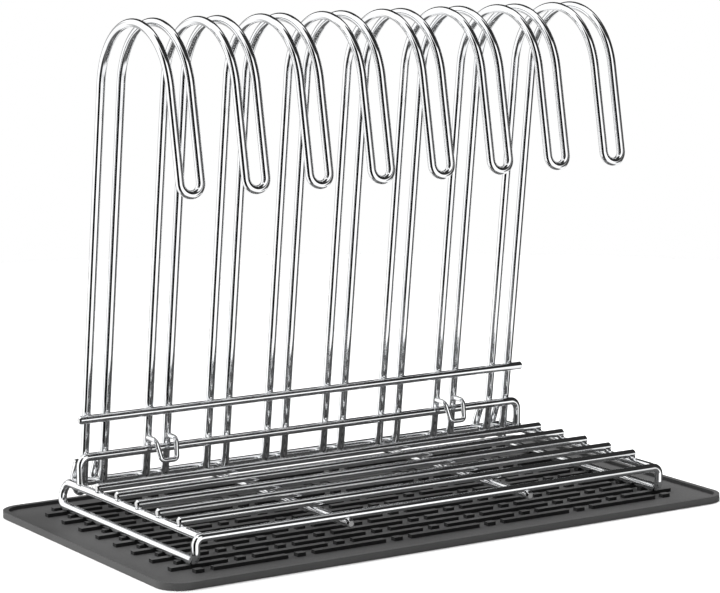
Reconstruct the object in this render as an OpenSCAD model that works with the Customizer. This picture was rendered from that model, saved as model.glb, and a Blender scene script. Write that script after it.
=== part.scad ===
// Countertop mug tree: a wire rack on a ribbed drip mat, carrying a tilting panel of
// eight hairpin hooks.
// Origin: middle of the mat's underside. +Z up, -Y the front, +X to the right.
// All sizes in millimetres.

/* [Mat] */
// Length of the drip mat, left to right
mat_length = 400; // [380:5:440]
// Depth of the drip mat, front to back
mat_depth = 224; // [216:2:260]
// Height of the mat's rim, and of its ribs, above the table
mat_height = 4.4; // [4:0.2:7]
// Thickness of the mat's floor
mat_floor = 2.2; // [1.6:0.2:3.4]
// Radius of the mat's outer corners
mat_corner_radius = 15; // [8:1:20]
// Width of the raised rim
rim_width = 3.4; // [2.4:0.2:6]

/* [Wire] */
// Diameter of the rack and hook wire
wire_d = 5.2; // [4.6:0.1:5.2]
// Diameter of the thinner wire the clips are bent from
clip_wire_d = 3.2; // [2.4:0.1:3.4]

/* [Base rack] */
// Distance from the rack's front bar to the outside of its rear bends
rack_depth = 171; // [166:1:176]
// Distance between the two lower side runs
rack_length = 333; // [331:1:336]
// Height of the upper side runs above the lower ones
rack_height = 13.7; // [13.2:0.1:15]
// Length of each straight bar
bar_length = 330; // [326:1:340]
// Distance between neighbouring cross bars
bar_pitch = 25.6; // [22:0.2:27]
// Height of the upstand bar above the upper side runs
upstand_height = 18.5; // [18:0.5:20]

/* [Hook panel] */
// Distance between neighbouring hooks
hook_pitch = 43; // [40:0.5:43]
// Distance between the two wires of a hook
hook_gap = 13.4; // [11:0.2:14]
// Forward lean of the hook legs, in degrees
leg_lean = 7.4; // [6:0.2:8]
// Length of the straight part of a hook leg, from the pivot bar up
leg_length = 252; // [200:1:280]
// Bend radius of the arch at the top of a hook
arch_radius = 43.5; // [36:0.5:46]
// Angle turned by the arch, in degrees
arch_turn = 162; // [150:1:170]
// Length of the straight part of a hook arm
arm_length = 54; // [30:1:90]

/* [Hidden] */
$fn = 40;

hook_count = 8;
bar_count = 5;
weld_sink = 0.4;
end_chamfer = 0.9;
hair = 0.02;

// Ribs on the mat's floor: two alternating rows of long ribs and short blocks
rib_period = 67;
rib_row_pitch = 11.2;
rib_width = 4.2;
rib_length = 49;
rib_end_length = 37;
block_length = 5.6;
rib_rows = 17;
rib_shift_y = 2.4;
rib_sink = 0.4;

// Levels and stations of the base rack
lower_z = mat_height + wire_d / 2;
upper_z = lower_z + rack_height;
rack_front_y = -82.5;
rack_rear_y = rack_front_y + rack_depth;
lower_x = rack_length / 2;
upper_x = lower_x - 3.7;
rear_bend_radius = rack_height / 2 - 0.05;
front_bend_radius = 4.4;
pivot_y = rack_rear_y - rack_height / 2 - 0.4;
cross_z = upper_z + wire_d - weld_sink;
cross_first_y = 43.2;
support_x = 64.5;
support_z = upper_z - wire_d + weld_sink;
support_front = 3.4;
support_rear = 3.5;
upstand_y = pivot_y - 13.8;
upstand_bend_radius = 5;

// Stations in the panel's own frame: its X axis is the pivot bar, its Z axis runs up the legs
leg_y = -(wire_d + 0.35);
leg_end = 4.3;
panel_bar_y = leg_y - wire_d + weld_sink;
panel_bar_z = 44.2;
tail_bend_radius = 6.2;
tail_turn = 197;
tail_drop = 0.6;
tail_length = 11.5;
clip_top_z = 26.4;
clip_front_y = -17.4;
clip_front_z = 27.2;
clip_lip_y = -22.9;
clip_lip_z = 15.8;
clip_lip_half = 5.2;
clip_half = 7.1;
clip_top_radius = 5;
clip_lip_radius = 2.6;
clip_root = 1.6;

steel = [0.78, 0.79, 0.8];
black = [0.1, 0.1, 0.11];

// ---------- helpers ----------

function minus(a, b) = [a[0] - b[0], a[1] - b[1], a[2] - b[2]];
function unit(v) = v / norm(v);
function hook_x(i) = (i - (hook_count + 1) / 2) * hook_pitch;

// A straight piece of wire from point a to point b
module straight(a, b, d) {
    v = minus(b, a);
    translate(a)
        rotate([0, acos(v[2] / norm(v)), atan2(v[1], v[0])])
            cylinder(h = norm(v), d = d);
}

// A bend of the given centre-line radius at corner c, between directions u and v
module bend(c, u, v, radius, d) {
    turn = acos(u * v);
    n = unit(cross(u, v));
    start = c - u * radius * tan(turn / 2);
    inward = cross(n, u);
    out = -inward;
    upright = abs(out[2]) > 0.999;
    roll = upright ? atan2(-out[2] * u[0], u[1]) : atan2(u[2], n[2]);
    heading = upright ? 0 : atan2(out[1], out[0]);
    translate(start + inward * radius)
        rotate([roll, -asin(out[2]), heading])
            rotate_extrude(angle = turn)
                translate([radius, 0])
                    circle(d = d);
}

function dir(p, i) = unit(minus(p[i + 1], p[i]));
function trim(p, r, i) = (i == 0 || i == len(p) - 1)
    ? 0
    : r[i] * tan(acos(dir(p, i - 1) * dir(p, i)) / 2);

// A wire through the points p, rounded at each inner point with the radius in r.
// A hair's breadth is left between a straight piece and a bend, so neither cuts the other.
module wire_path(p, r, d = wire_d) {
    for (i = [0 : len(p) - 2])
        straight(p[i] + dir(p, i) * (trim(p, r, i) + hair),
                 p[i + 1] - dir(p, i) * (trim(p, r, i + 1) + hair), d);
    for (i = [1 : len(p) - 2])
        bend(p[i], dir(p, i - 1), dir(p, i), r[i], d);
}

// A bend that leaves the origin along +Z and turns towards +X
module turn_wire(radius, angle) {
    translate([radius, 0, 0])
        rotate([90, 0, 180])
            rotate_extrude(angle = angle)
                translate([radius, 0])
                    circle(d = wire_d);
}

// Moves the children to the end of such a bend
module after_turn(radius, angle) {
    translate([radius, 0, 0])
        rotate([0, angle, 0])
            translate([-radius, 0, 0])
                children();
}

// A straight bar along X with lightly chamfered ends
module bar(length) {
    body = length - 2 * end_chamfer;
    rotate([0, 90, 0]) {
        translate([0, 0, -body / 2])
            cylinder(h = body, d = wire_d);
        for (side = [0, 1])
            mirror([0, 0, side])
                translate([0, 0, body / 2])
                    cylinder(h = end_chamfer, d1 = wire_d, d2 = wire_d - 2 * end_chamfer);
    }
}

module rounded_slab(length, depth, height, radius) {
    linear_extrude(height = height)
        union() {
            square([length - 2 * radius, depth], center = true);
            square([length, depth - 2 * radius], center = true);
            for (sx = [-1, 1], sy = [-1, 1])
                translate([sx * (length / 2 - radius), sy * (depth / 2 - radius)])
                    circle(r = radius);
        }
}

// Places the children in the panel's own frame
module in_panel() {
    translate([0, pivot_y, upper_z])
        rotate([leg_lean, 0, 0])
            children();
}

// ---------- drip mat ----------

module rib(x, y, length) {
    translate([x - length / 2, y - rib_width / 2, mat_floor - rib_sink])
        cube([length, rib_width, mat_height - mat_floor + rib_sink]);
}

// A row that starts with a short block
module block_row(y) {
    for (i = [-2.5 : 1 : 2.5])
        rib(i * rib_period, y, block_length);
    for (i = [-2 : 2])
        rib(i * rib_period, y, rib_length);
}

// A row that starts with a shortened rib
module rib_row(y) {
    for (i = [-2 : 2])
        rib(i * rib_period, y, block_length);
    for (i = [-1.5 : 1 : 1.5])
        rib(i * rib_period, y, rib_length);
    for (side = [-1, 1])
        rib(side * (2 * rib_period + (rib_period - rib_length) / 2 + rib_end_length / 2), y,
            rib_end_length);
}

module drip_mat() {
    color(black) {
        difference() {
            rounded_slab(mat_length, mat_depth, mat_height, mat_corner_radius);
            translate([0, 0, mat_floor])
                rounded_slab(mat_length - 2 * rim_width, mat_depth - 2 * rim_width, mat_height,
                             mat_corner_radius - rim_width);
        }
        for (row = [0 : rib_rows - 1]) {
            y = rib_shift_y + (row - (rib_rows - 1) / 2) * rib_row_pitch;
            if (row % 2 == 0)
                block_row(y);
            else
                rib_row(y);
        }
    }
}

// ---------- base rack ----------

// One wire bent to the whole frame, its ends butted behind the front bar
module base_frame() {
    run_end_y = rack_front_y + wire_d / 2 + hair;
    half = [[upper_x, run_end_y, upper_z],
            [upper_x, rack_rear_y, upper_z],
            [lower_x, rack_rear_y, lower_z],
            [lower_x, rack_front_y, lower_z],
            [lower_x, rack_front_y, upper_z]];
    radii = [0, rear_bend_radius, rear_bend_radius, front_bend_radius, front_bend_radius];
    n = len(half);
    points = [for (i = [0 : 2 * n - 1]) (i < n)
        ? [-half[i][0], half[i][1], half[i][2]]
        : half[2 * n - 1 - i]];
    radius_list = [for (i = [0 : 2 * n - 1]) (i < n) ? radii[i] : radii[2 * n - 1 - i]];
    color(steel)
        wire_path(points, radius_list);
}

module rear_bar() {
    color(steel)
        translate([0, pivot_y, upper_z])
            rotate([0, 90, 0])
                cylinder(h = 2 * (upper_x - wire_d / 2 + weld_sink), d = wire_d, center = true);
}

module cross_bar(i) {
    color(steel)
        translate([0, cross_first_y - (i - 1) * bar_pitch, cross_z])
            bar(bar_length);
}

module support_wire(side) {
    front = rack_front_y - support_front;
    rear = pivot_y + support_rear;
    color(steel)
        translate([side * support_x, (front + rear) / 2, support_z])
            rotate([0, 0, 90])
                bar(rear - front);
}

module upstand() {
    foot_z = upper_z + wire_d / 2 - weld_sink;
    top_z = upper_z + upstand_height;
    color(steel)
        translate([0, upstand_y, 0])
            wire_path([[-upper_x, 0, foot_z], [-upper_x, 0, top_z],
                       [upper_x, 0, top_z], [upper_x, 0, foot_z]],
                      [0, upstand_bend_radius, upstand_bend_radius, 0]);
}

// ---------- hook panel ----------

// The tail that an end hook's leg turns into: under the pivot bar and up behind it
module hook_tail() {
    rotate([180, 0, 90])
        turn_wire(tail_bend_radius, tail_turn);
    rotate([180, 0, 90])
        after_turn(tail_bend_radius, tail_turn) {
            body = tail_length - end_chamfer;
            cylinder(h = body, d = wire_d);
            translate([0, 0, body])
                cylinder(h = end_chamfer, d1 = wire_d, d2 = wire_d - 2 * end_chamfer);
        }
}

// One side of a hook, from the leg's lower end over the arch to the end of the arm
module hook_side(x, bottom) {
    translate([x, leg_y, bottom])
        cylinder(h = leg_length - bottom, d = wire_d);
    translate([x, leg_y, leg_length])
        rotate([0, 0, -90]) {
            turn_wire(arch_radius, arch_turn);
            after_turn(arch_radius, arch_turn)
                cylinder(h = arm_length, d = wire_d);
        }
}

module hook(i) {
    end_hook = i == 1 || i == hook_count;
    bottom = end_hook ? tail_drop : -leg_end;
    color(steel)
        in_panel()
            translate([hook_x(i), 0, 0]) {
                for (side = [-1, 1]) {
                    hook_side(side * hook_gap / 2, bottom);
                    if (end_hook)
                        translate([side * hook_gap / 2, leg_y, tail_drop])
                            hook_tail();
                }
                translate([-hook_gap / 2, leg_y, leg_length])
                    rotate([0, 0, -90])
                        after_turn(arch_radius, arch_turn)
                            translate([0, 0, arm_length])
                                rotate([0, 0, 90])
                                    turn_wire(hook_gap / 2, 180);
            }
}

module panel_bar() {
    color(steel)
        in_panel()
            translate([0, panel_bar_y, panel_bar_z])
                bar(bar_length);
}

// A loop welded to both legs of a hook, reaching over the upstand and down in front of it
module clip(i) {
    root_y = leg_y - clip_root;
    color(steel)
        in_panel()
            translate([hook_x(i), 0, 0])
                wire_path([[-clip_half, root_y, clip_top_z],
                           [-clip_half, clip_front_y, clip_front_z],
                           [-clip_lip_half, clip_lip_y, clip_lip_z],
                           [clip_lip_half, clip_lip_y, clip_lip_z],
                           [clip_half, clip_front_y, clip_front_z],
                           [clip_half, root_y, clip_top_z]],
                          [0, clip_top_radius, clip_lip_radius, clip_lip_radius,
                           clip_top_radius, 0],
                          clip_wire_d);
}

// ---------- placement ----------

drip_mat();
base_frame();
rear_bar();
cross_bar(1);  // cross_bar_1
cross_bar(2);  // cross_bar_2
cross_bar(3);  // cross_bar_3
cross_bar(4);  // cross_bar_4
cross_bar(5);  // cross_bar_5
support_wire(-1);  // support_wire_left
support_wire(1);  // support_wire_right
upstand();
hook(1);  // hook_1
hook(2);  // hook_2
hook(3);  // hook_3
hook(4);  // hook_4
hook(5);  // hook_5
hook(6);  // hook_6
hook(7);  // hook_7
hook(8);  // hook_8
panel_bar();
clip(2);  // clip_left
clip(7);  // clip_right
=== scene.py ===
"""Visual model of a countertop mug tree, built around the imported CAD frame. Metres."""

import math

import bmesh
import bpy
from mathutils import Matrix, Vector, noise


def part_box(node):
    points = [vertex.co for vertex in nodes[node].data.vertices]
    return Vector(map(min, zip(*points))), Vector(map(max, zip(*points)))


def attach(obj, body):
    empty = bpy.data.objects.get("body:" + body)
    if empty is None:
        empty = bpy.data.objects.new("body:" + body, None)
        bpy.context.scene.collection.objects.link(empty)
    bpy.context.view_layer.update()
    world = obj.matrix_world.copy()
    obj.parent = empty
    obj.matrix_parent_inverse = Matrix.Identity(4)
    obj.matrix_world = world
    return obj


MM = 0.001

# Camera
CAMERA_PLACE = (-0.9256, -1.4622, 0.4120)
CAMERA_YAW = 33.886
CAMERA_PITCH = 7.899
CAMERA_LENS = 141.9
CAMERA_SHIFT = (-0.1125, -0.0859)

# Wire rack
WELD_SINK = 0.4 * MM
PANEL_LEAN = 7.4
CROSS_BARS = 5
HOOKS = 8
CLIPS = {"clip_left": "hook_2", "clip_right": "hook_7"}
LEG_CLEARANCE = 0.35 * MM
CLIP_ROOT_UP = 26.4 * MM
CLIP_ROOT_SINK = 0.5 * MM

# Drip mat
RIM_WIDTH = 3.4 * MM
MAT_CORNER = 15 * MM
RIM_BLEND = 0.2 * MM

# Weld beads: half sizes along the two wires and across the joint
BEAD = (2.5 * MM, 2.3 * MM, 1.35 * MM)
CLIP_BEAD = (1.9 * MM, 1.9 * MM, 1.3 * MM)
FOOT_BEAD = (2.95 * MM, 2.95 * MM, 0.7 * MM)

# Fine edges: bevel width, and the smallest angle that gets one
MAT_EDGE = (0.4 * MM, 50)
WIRE_END = (0.35 * MM, 30)

# Studio
FLOOR_RADIUS = 1.1
FLOOR_GAP = 0.05 * MM
# Lamps: place, aim, width and depth, power
LAMPS = {
    "key": ((-1.2, 0.1, 1.5), (0, 0, 0.1), (1.2, 1.2), 6),
    "right_end": ((0.42, 0.06, 0.3), (0.2, 0, 0), (0.2, 0.2), 1.6),
}

# Brightness round the horizon, by angle from the camera's side, positive to its right
LOW_BANDS = [
    (-180, 1.3), (-175, 0.9), (-168, 0.42), (-128, 0.5), (-118, 1.3), (-56, 1.3),
    (-52, 0.01), (2, 0.01), (7, 1.35), (69, 1.35), (76, 0.08), (144, 0.06),
    (162, 0.2), (173, 0.9), (180, 1.3),
]
# The same for the ring above the horizon
HIGH_BANDS = [
    (-180, 0.02), (-150, 0.03), (-142, 1.3), (-57, 1.3), (-52, 0.01), (3, 0.01),
    (8, 1.35), (46, 1.35), (56, 0.04), (180, 0.02),
]
# The same for the ring below the horizon
UNDER_BANDS = [(-180, 1.15), (-60, 1.15), (-52, 0.05), (2, 0.05), (12, 1.15), (180, 1.15)]
# Climbs, in degrees, over which one zone turns into the next
DEPTH_TO_UNDER = (-54, -46)
UNDER_TO_LOW = (-30, -22)
LOW_TO_HIGH = (9, 14)
HIGH_TO_TOP = (54, 62)
DEPTH = 0.15
TOP = 1.35
# The overhead panel ends on the right, where a direction leans this far to +X
PANEL_END = (0.49, 0.54)
# A dark flag overhead in front, and one behind the object: aim and cosines of the soft edge
FRONT_FLAG = (0.12, -0.22, 0.96)
FRONT_FLAG_EDGE = (0.895, 0.93)
BACK_FLAG_EDGE = (0.86, 0.93)
BACK_FLAG_FOOT = (-3, 2)
FLAG_SHADE = 0.03

# Soft light on surfaces: an even part, and a part from above and to the left
EVEN_LIGHT = 0.12
MAIN_LIGHT = 2.9
MAIN_FROM = (-0.55, 0.5, 0.67)


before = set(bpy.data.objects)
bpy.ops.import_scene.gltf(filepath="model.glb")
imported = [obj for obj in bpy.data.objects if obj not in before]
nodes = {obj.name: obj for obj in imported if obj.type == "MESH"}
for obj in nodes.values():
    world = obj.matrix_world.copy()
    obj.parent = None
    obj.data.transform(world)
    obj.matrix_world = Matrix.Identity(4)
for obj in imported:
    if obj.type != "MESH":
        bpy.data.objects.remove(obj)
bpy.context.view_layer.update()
scene = bpy.context.scene
scene.view_settings.view_transform = "Standard"


# ---------- small helpers ----------


def middle(node):
    low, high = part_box(node)
    return (low + high) / 2


def link(obj):
    scene.collection.objects.link(obj)
    return obj


class Tree:
    """Adds shader nodes and joins them in one call."""

    def __init__(self, owner):
        owner.use_nodes = True
        self.tree = owner.node_tree
        self.tree.nodes.clear()

    def add(self, kind, values=None, **settings):
        node = self.tree.nodes.new(kind)
        for key, value in settings.items():
            setattr(node, key, value)
        for key, value in (values or {}).items():
            self.put(node.inputs[key], value)
        return node

    def put(self, socket, value):
        if isinstance(value, bpy.types.NodeSocket):
            self.tree.links.new(value, socket)
        else:
            socket.default_value = value

    def math(self, operation, *values):
        node = self.add("ShaderNodeMath", operation=operation)
        for i, value in enumerate(values):
            self.put(node.inputs[i], value)
        return node.outputs[0]

    def dot(self, vector, axis):
        node = self.add("ShaderNodeVectorMath", operation="DOT_PRODUCT")
        self.put(node.inputs[0], vector)
        node.inputs[1].default_value = axis
        return node.outputs["Value"]

    def ramp(self, factor, stops):
        node = self.add("ShaderNodeValToRGB")
        self.put(node.inputs[0], factor)
        ramp = node.color_ramp
        while len(ramp.elements) < len(stops):
            ramp.elements.new(0.5)
        for element, (place, value) in zip(ramp.elements, stops):
            element.position = place
            colour = value if isinstance(value, tuple) else (value,) * 3
            element.color = (*colour, 1)
        return node.outputs["Color"]

    def span(self, value, low, high, start=0.0, end=1.0):
        """Maps low..high to start..end and holds the ends."""
        node = self.add("ShaderNodeMapRange", clamp=True)
        for key, v in zip(("Value", "From Min", "From Max", "To Min", "To Max"),
                          (value, low, high, start, end)):
            self.put(node.inputs[key], v)
        return node.outputs["Result"]

    def noise(self, vector, scale, detail=3.0, roughness=0.5):
        node = self.add("ShaderNodeTexNoise",
                        {"Vector": vector, "Scale": scale, "Detail": detail,
                         "Roughness": roughness})
        return node.outputs["Fac"]

    def mix(self, factor, a, b):
        node = self.add("ShaderNodeMix", data_type="RGBA")
        self.put(node.inputs[0], factor)
        for socket, value in ((node.inputs[6], a), (node.inputs[7], b)):
            if isinstance(value, tuple):
                value = (*value, 1)
            self.put(socket, value)
        return node.outputs[2]

    def bump(self, height, strength, distance):
        node = self.add("ShaderNodeBump",
                        {"Height": height, "Strength": strength, "Distance": distance})
        return node.outputs["Normal"]

    def surface(self, values):
        shader = self.add("ShaderNodeBsdfPrincipled", values)
        self.add("ShaderNodeOutputMaterial", {"Surface": shader.outputs["BSDF"]})


# ---------- materials ----------


def chrome(name, end_axis=None, rough=(0.035, 0.085), cut_tone_and_painted_shade=(0.7, 0.86)):
    """Bright chrome plate on drawn wire; end_axis is the axis its sheared ends face."""
    material = bpy.data.materials.new(name)
    t = Tree(material)
    coords = t.add("ShaderNodeTexCoord")
    place = coords.outputs["Object"]
    haze = t.noise(place, 55.0, 2.0)
    grain = t.noise(place, 950.0, 4.0, 0.6)
    pits = t.noise(place, 2600.0, 2.0)
    colour = t.ramp(haze, [(0.3, (0.80, 0.81, 0.825)), (0.7, (0.90, 0.905, 0.91))])
    gloss = t.span(grain, 0.3, 0.75, rough[0], rough[1])
    height = t.math("ADD", t.math("MULTIPLY", grain, 0.4), t.math("MULTIPLY", pits, 0.3))
    if end_axis is not None:
        facing = t.math("ABSOLUTE", t.dot(coords.outputs["Normal"], end_axis))
        cut = t.span(facing, 0.86, 0.97)
        # Ends facing end_axis get their own colour. On the bars it is a subtly duller cut-end
        # tone. On the support wires it is much darker: partly unplated steel, partly painted
        # shade standing in for the dark mat they mirror.
        end_tone_and_painted_shade = t.ramp(grain, [(0.3, cut_tone_and_painted_shade[0]), (0.8, cut_tone_and_painted_shade[1])])
        colour = t.mix(cut, colour, end_tone_and_painted_shade)
        gloss = t.math("ADD", gloss, t.math("MULTIPLY", cut, 0.15))
    t.surface({
        "Base Color": colour,
        "Metallic": 1.0,
        "Roughness": gloss,
        "Normal": t.bump(height, 0.02, 0.00003),
    })
    return material


def weld_steel(name):
    """Plated weld: slightly duller and lumpier than the wire."""
    material = bpy.data.materials.new(name)
    t = Tree(material)
    place = t.add("ShaderNodeTexCoord").outputs["Object"]
    lumps = t.noise(place, 620.0, 3.0, 0.6)
    fine = t.noise(place, 2400.0, 3.0)
    t.surface({
        "Base Color": t.ramp(lumps, [(0.3, (0.60, 0.61, 0.625)), (0.7, (0.84, 0.845, 0.85))]),
        "Metallic": 1.0,
        "Roughness": t.span(fine, 0.3, 0.7, 0.1, 0.24),
        "Normal": t.bump(lumps, 0.25, 0.0002),
    })
    return material


def rubber(name, half_x, half_y, corner):
    """Moulded rubber with a fine grain and dull flecks, and painted shade on its faces that don't
    point up; half sizes and corner are its floor's.
    """
    material = bpy.data.materials.new(name)
    t = Tree(material)
    coords = t.add("ShaderNodeTexCoord")
    place = coords.outputs["Object"]
    parts = t.add("ShaderNodeSeparateXYZ", {"Vector": place})
    past = [t.math("MAXIMUM", 0.0, t.math("SUBTRACT", t.math("ABSOLUTE", parts.outputs[axis]),
                                          half - corner))
            for axis, half in (("X", half_x), ("Y", half_y))]
    reach = t.math("SQRT", t.math("ADD", *(t.math("POWER", p, 2.0) for p in past)))
    on_rim = t.span(reach, corner - RIM_BLEND, corner + RIM_BLEND)
    broad = t.noise(place, 14.0, 3.0)
    grain = t.noise(place, 1500.0, 3.0, 0.6)
    speckle = t.noise(place, 3600.0, 1.0)
    # Painted shade: faces that don't point up, such as rib fronts and the mat's walls, get a far
    # darker colour (0.028) than the tops. The rim keeps its own tone.
    upward = t.dot(coords.outputs["Normal"], (0, 0, 1))
    level = t.ramp(broad, [(0.25, 0.076), (0.75, 0.1)])
    base = t.mix(t.span(upward, 0.3, 0.9), (0.028, 0.028, 0.0285), level)
    base = t.mix(on_rim, base, t.ramp(broad, [(0.25, 0.072), (0.75, 0.088)]))
    fleck = t.span(speckle, 0.62, 0.78, 0.0, 0.3)
    colour = t.mix(fleck, base, (0.1, 0.1005, 0.102))
    height = t.math("ADD", t.math("MULTIPLY", grain, 0.7), t.math("MULTIPLY", speckle, 0.3))
    rough = t.math("SUBTRACT", t.span(grain, 0.25, 0.75, 0.4, 0.55),
                   t.math("MULTIPLY", on_rim, 0.06))
    t.surface({
        "Base Color": colour,
        "Roughness": rough,
        "Specular IOR Level": 0.12,
        "Normal": t.bump(height, 0.3, 0.0001),
    })
    return material


def pale_floor(name):
    material = bpy.data.materials.new(name)
    t = Tree(material)
    place = t.add("ShaderNodeTexCoord").outputs["Object"]
    t.surface({
        "Base Color": t.ramp(t.noise(place, 40.0), [(0.0, 0.94), (1.0, 0.955)]),
        "Roughness": 0.9,
        "Specular IOR Level": 0.1,
    })
    return material


def dress(node, material):
    slots = nodes[node].material_slots
    if not slots:
        nodes[node].data.materials.append(material)
    for s in slots:
        s.material = material


# ---------- the CAD nodes ----------

wire = chrome("chrome_wire")
wire_x = chrome("chrome_bar", end_axis=(1, 0, 0))
# The support ends' dark colour is partly unplated cut steel and partly painted shade for the dark
# mat mirrored in them.
wire_y = chrome("chrome_support", end_axis=(0, 1, 0), cut_tone_and_painted_shade=(0.2, 0.3))
wire_thin = chrome("chrome_clip", rough=(0.03, 0.07))
weld = weld_steel("plated_weld")

for node in nodes:
    dress(node, wire)
bars = [f"cross_bar_{i}" for i in range(1, CROSS_BARS + 1)] + ["panel_bar"]
supports = ["support_wire_left", "support_wire_right"]
for node in bars:
    dress(node, wire_x)
for node in supports:
    dress(node, wire_y)
for node in CLIPS:
    dress(node, wire_thin)
mat_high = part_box("drip_mat")[1]
dress("drip_mat", rubber("rubber_mat", mat_high.x - RIM_WIDTH, mat_high.y - RIM_WIDTH,
                         MAT_CORNER - RIM_WIDTH))


def soften(node, width, angle):
    """Rounds the sharp edges of a CAD node with a modifier; its mesh stays as it is."""
    bevel = nodes[node].modifiers.new("softened_edges", "BEVEL")
    bevel.width = width
    bevel.segments = 2
    bevel.limit_method = "ANGLE"
    bevel.angle_limit = math.radians(angle)
    bevel.harden_normals = node != "drip_mat"


soften("drip_mat", *MAT_EDGE)
for node in (*bars, *supports):
    soften(node, *WIRE_END)


# ---------- weld beads ----------


def bead(mesh, centre, axes, half, seed):
    """Adds one lumpy weld bead with its half sizes along three axes."""
    turn = Matrix(axes).transposed()
    made = bmesh.ops.create_icosphere(mesh, subdivisions=3, radius=1.0)
    for v in made["verts"]:
        p = v.co.normalized()
        lump = 1 + 0.16 * noise.noise(p * 1.7 + Vector((seed, 2 * seed, 0)))
        lump += 0.05 * noise.noise(p * 5.1 + Vector((0, seed, 3 * seed)))
        square = 1 + 0.12 * (p.x * p.y) ** 2 * 4
        v.co = centre + turn @ Vector([p[k] * half[k] * lump * square for k in range(3)])


def beads(name, body, spots):
    """One object of beads, each spot being (centre, axes, half sizes)."""
    mesh = bmesh.new()
    for seed, (centre, axes, half) in enumerate(spots):
        bead(mesh, Vector(centre), axes, half, 1.37 * seed + 0.5)
    for face in mesh.faces:
        face.smooth = True
    data = bpy.data.meshes.new(name)
    mesh.to_mesh(data)
    mesh.free()
    obj = link(bpy.data.objects.new(name, data))
    data.materials.append(weld)
    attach(obj, body)
    return obj


X, Y, Z = Vector((1, 0, 0)), Vector((0, 1, 0)), Vector((0, 0, 1))
FLAT = (X, Y, Z)

bar_low, bar_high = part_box("cross_bar_1")
wire_r = (bar_high.z - bar_low.z) / 2
run_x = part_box("rear_bar")[1].x + wire_r - WELD_SINK
rear = middle("rear_bar")
front_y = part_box("base_frame")[0].y + wire_r
side_xs = (-run_x, run_x)
support_xs = [middle(node).x for node in supports]
bar_ys = [middle(f"cross_bar_{i}").y for i in range(1, CROSS_BARS + 1)]
top_joint = rear.z + wire_r - WELD_SINK / 2
under_joint = rear.z - wire_r + WELD_SINK / 2

beads("rack_crossing_welds", "rack",
      [((x, y, top_joint), FLAT, BEAD) for y in bar_ys for x in side_xs])
beads("support_welds", "rack",
      [((x, y, under_joint), FLAT, BEAD) for x in support_xs for y in (front_y, rear.y)])

upstand_y = middle("upstand").y
beads("frame_foot_welds", "rack",
      [((x, upstand_y, top_joint), FLAT, FOOT_BEAD) for x in side_xs]
      + [((math.copysign(run_x - wire_r + WELD_SINK / 2, x), rear.y, rear.z),
          (Y, Z, X), FOOT_BEAD) for x in side_xs])

lean = math.radians(PANEL_LEAN)
panel_back = Vector((0, math.cos(lean), math.sin(lean)))
panel_up = Vector((0, -math.sin(lean), math.cos(lean)))
leg_xs = []
for i in range(1, HOOKS + 1):
    low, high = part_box(f"hook_{i}")
    leg_xs += [low.x + wire_r, high.x - wire_r]
panel_joint = middle("panel_bar") + panel_back * (wire_r - WELD_SINK / 2)
beads("panel_welds", "hook_panel",
      [((x, panel_joint.y, panel_joint.z), (X, panel_up, panel_back), BEAD) for x in leg_xs])

clip_root = rear + panel_up * CLIP_ROOT_UP
clip_root -= panel_back * (3 * wire_r + LEG_CLEARANCE - CLIP_ROOT_SINK)
clip_spots = []
for hook in CLIPS.values():
    low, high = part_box(hook)
    for x in (low.x + wire_r, high.x - wire_r):
        clip_spots.append(((x, clip_root.y, clip_root.z), (X, panel_up, panel_back), CLIP_BEAD))
beads("clip_welds", "hook_panel", clip_spots)


# ---------- studio ----------


def floor():
    mesh = bmesh.new()
    bmesh.ops.create_circle(mesh, cap_ends=True, segments=160, radius=FLOOR_RADIUS)
    data = bpy.data.meshes.new("floor")
    mesh.to_mesh(data)
    mesh.free()
    obj = link(bpy.data.objects.new("floor", data))
    obj.location.z = -FLOOR_GAP
    data.materials.append(pale_floor("floor_paper"))
    obj.visible_glossy = False


def area_light(name, place, target, size, power):
    data = bpy.data.lights.new(name, "AREA")
    data.shape = "RECTANGLE"
    data.size, data.size_y = size
    data.energy = power
    obj = link(bpy.data.objects.new(name, data))
    obj.location = place
    obj.rotation_euler = (Vector(target) - Vector(place)).to_track_quat("-Z", "Y").to_euler()
    obj.visible_glossy = False


def bands(t, around, values):
    """Brightness by the angle round the horizon, which runs 0..1 from -180 to 180 degrees."""
    return t.ramp(around, [((angle + 180) / 360, v) for angle, v in values])


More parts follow.
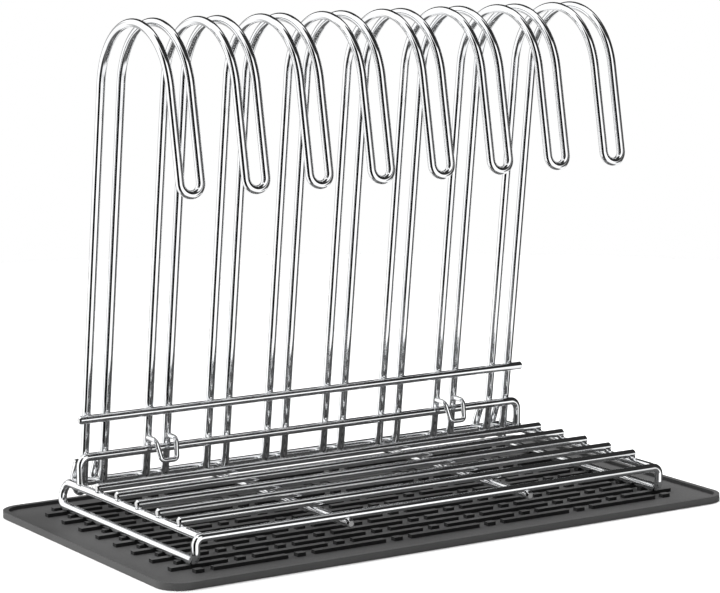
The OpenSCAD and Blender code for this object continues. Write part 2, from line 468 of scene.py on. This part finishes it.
def studio_world():
    """White for the eye and for soft light; dark and bright flags for what the chrome mirrors."""
    world = bpy.data.worlds.new("studio")
    scene.world = world
    t = Tree(world)
    direction = t.add("ShaderNodeTexCoord").outputs["Generated"]
    yaw = math.radians(CAMERA_YAW)
    ahead = t.dot(direction, (-math.sin(yaw), -math.cos(yaw), 0))
    aside = t.dot(direction, (math.cos(yaw), -math.sin(yaw), 0))
    turn = t.math("ARCTAN2", aside, ahead)
    around = t.math("ADD", t.math("DIVIDE", turn, 2 * math.pi), 0.5)
    climb = t.math("DEGREES", t.math("ARCSINE", t.dot(direction, (0, 0, 1))))
    level = t.mix(t.span(climb, *DEPTH_TO_UNDER), (DEPTH,) * 3, bands(t, around, UNDER_BANDS))
    level = t.mix(t.span(climb, *UNDER_TO_LOW), level, bands(t, around, LOW_BANDS))
    level = t.mix(t.span(climb, *LOW_TO_HIGH), level, bands(t, around, HIGH_BANDS))
    level = t.mix(t.span(climb, *HIGH_TO_TOP), level, (TOP,) * 3)
    past_end = t.math("MULTIPLY", t.span(t.dot(direction, (1, 0, 0)), *PANEL_END),
                      t.span(climb, *LOW_TO_HIGH))
    front = t.span(t.dot(direction, tuple(Vector(FRONT_FLAG).normalized())), *FRONT_FLAG_EDGE)
    back = t.math("MULTIPLY", t.span(t.math("MULTIPLY", ahead, -1.0), *BACK_FLAG_EDGE),
                  t.span(climb, *BACK_FLAG_FOOT))
    flagged = t.math("MAXIMUM", past_end, t.math("MAXIMUM", front, back))
    mirrored = t.mix(flagged, level, (FLAG_SHADE,) * 3)
    towards = t.math("MAXIMUM", t.dot(direction, tuple(Vector(MAIN_FROM).normalized())), 0.0)
    soft = t.math("MULTIPLY_ADD", t.math("POWER", towards, 2.0), MAIN_LIGHT, EVEN_LIGHT)
    path = t.add("ShaderNodeLightPath")
    soft = t.mix(path.outputs["Is Camera Ray"], soft, (1.0, 1.0, 1.0))
    seen = t.mix(path.outputs["Is Glossy Ray"], soft, mirrored)
    background = t.add("ShaderNodeBackground", {"Color": seen, "Strength": 1.0})
    t.add("ShaderNodeOutputWorld", {"Surface": background.outputs[0]})


def camera():
    data = bpy.data.cameras.new("camera")
    data.lens = CAMERA_LENS
    data.sensor_width = 36
    data.sensor_fit = "HORIZONTAL"
    data.shift_x, data.shift_y = CAMERA_SHIFT
    obj = link(bpy.data.objects.new("camera", data))
    obj.location = CAMERA_PLACE
    obj.rotation_euler = (math.radians(90 - CAMERA_PITCH), 0, math.radians(-CAMERA_YAW))
    scene.camera = obj


floor()
for lamp, setting in LAMPS.items():
    area_light(lamp, *setting)
studio_world()
camera()
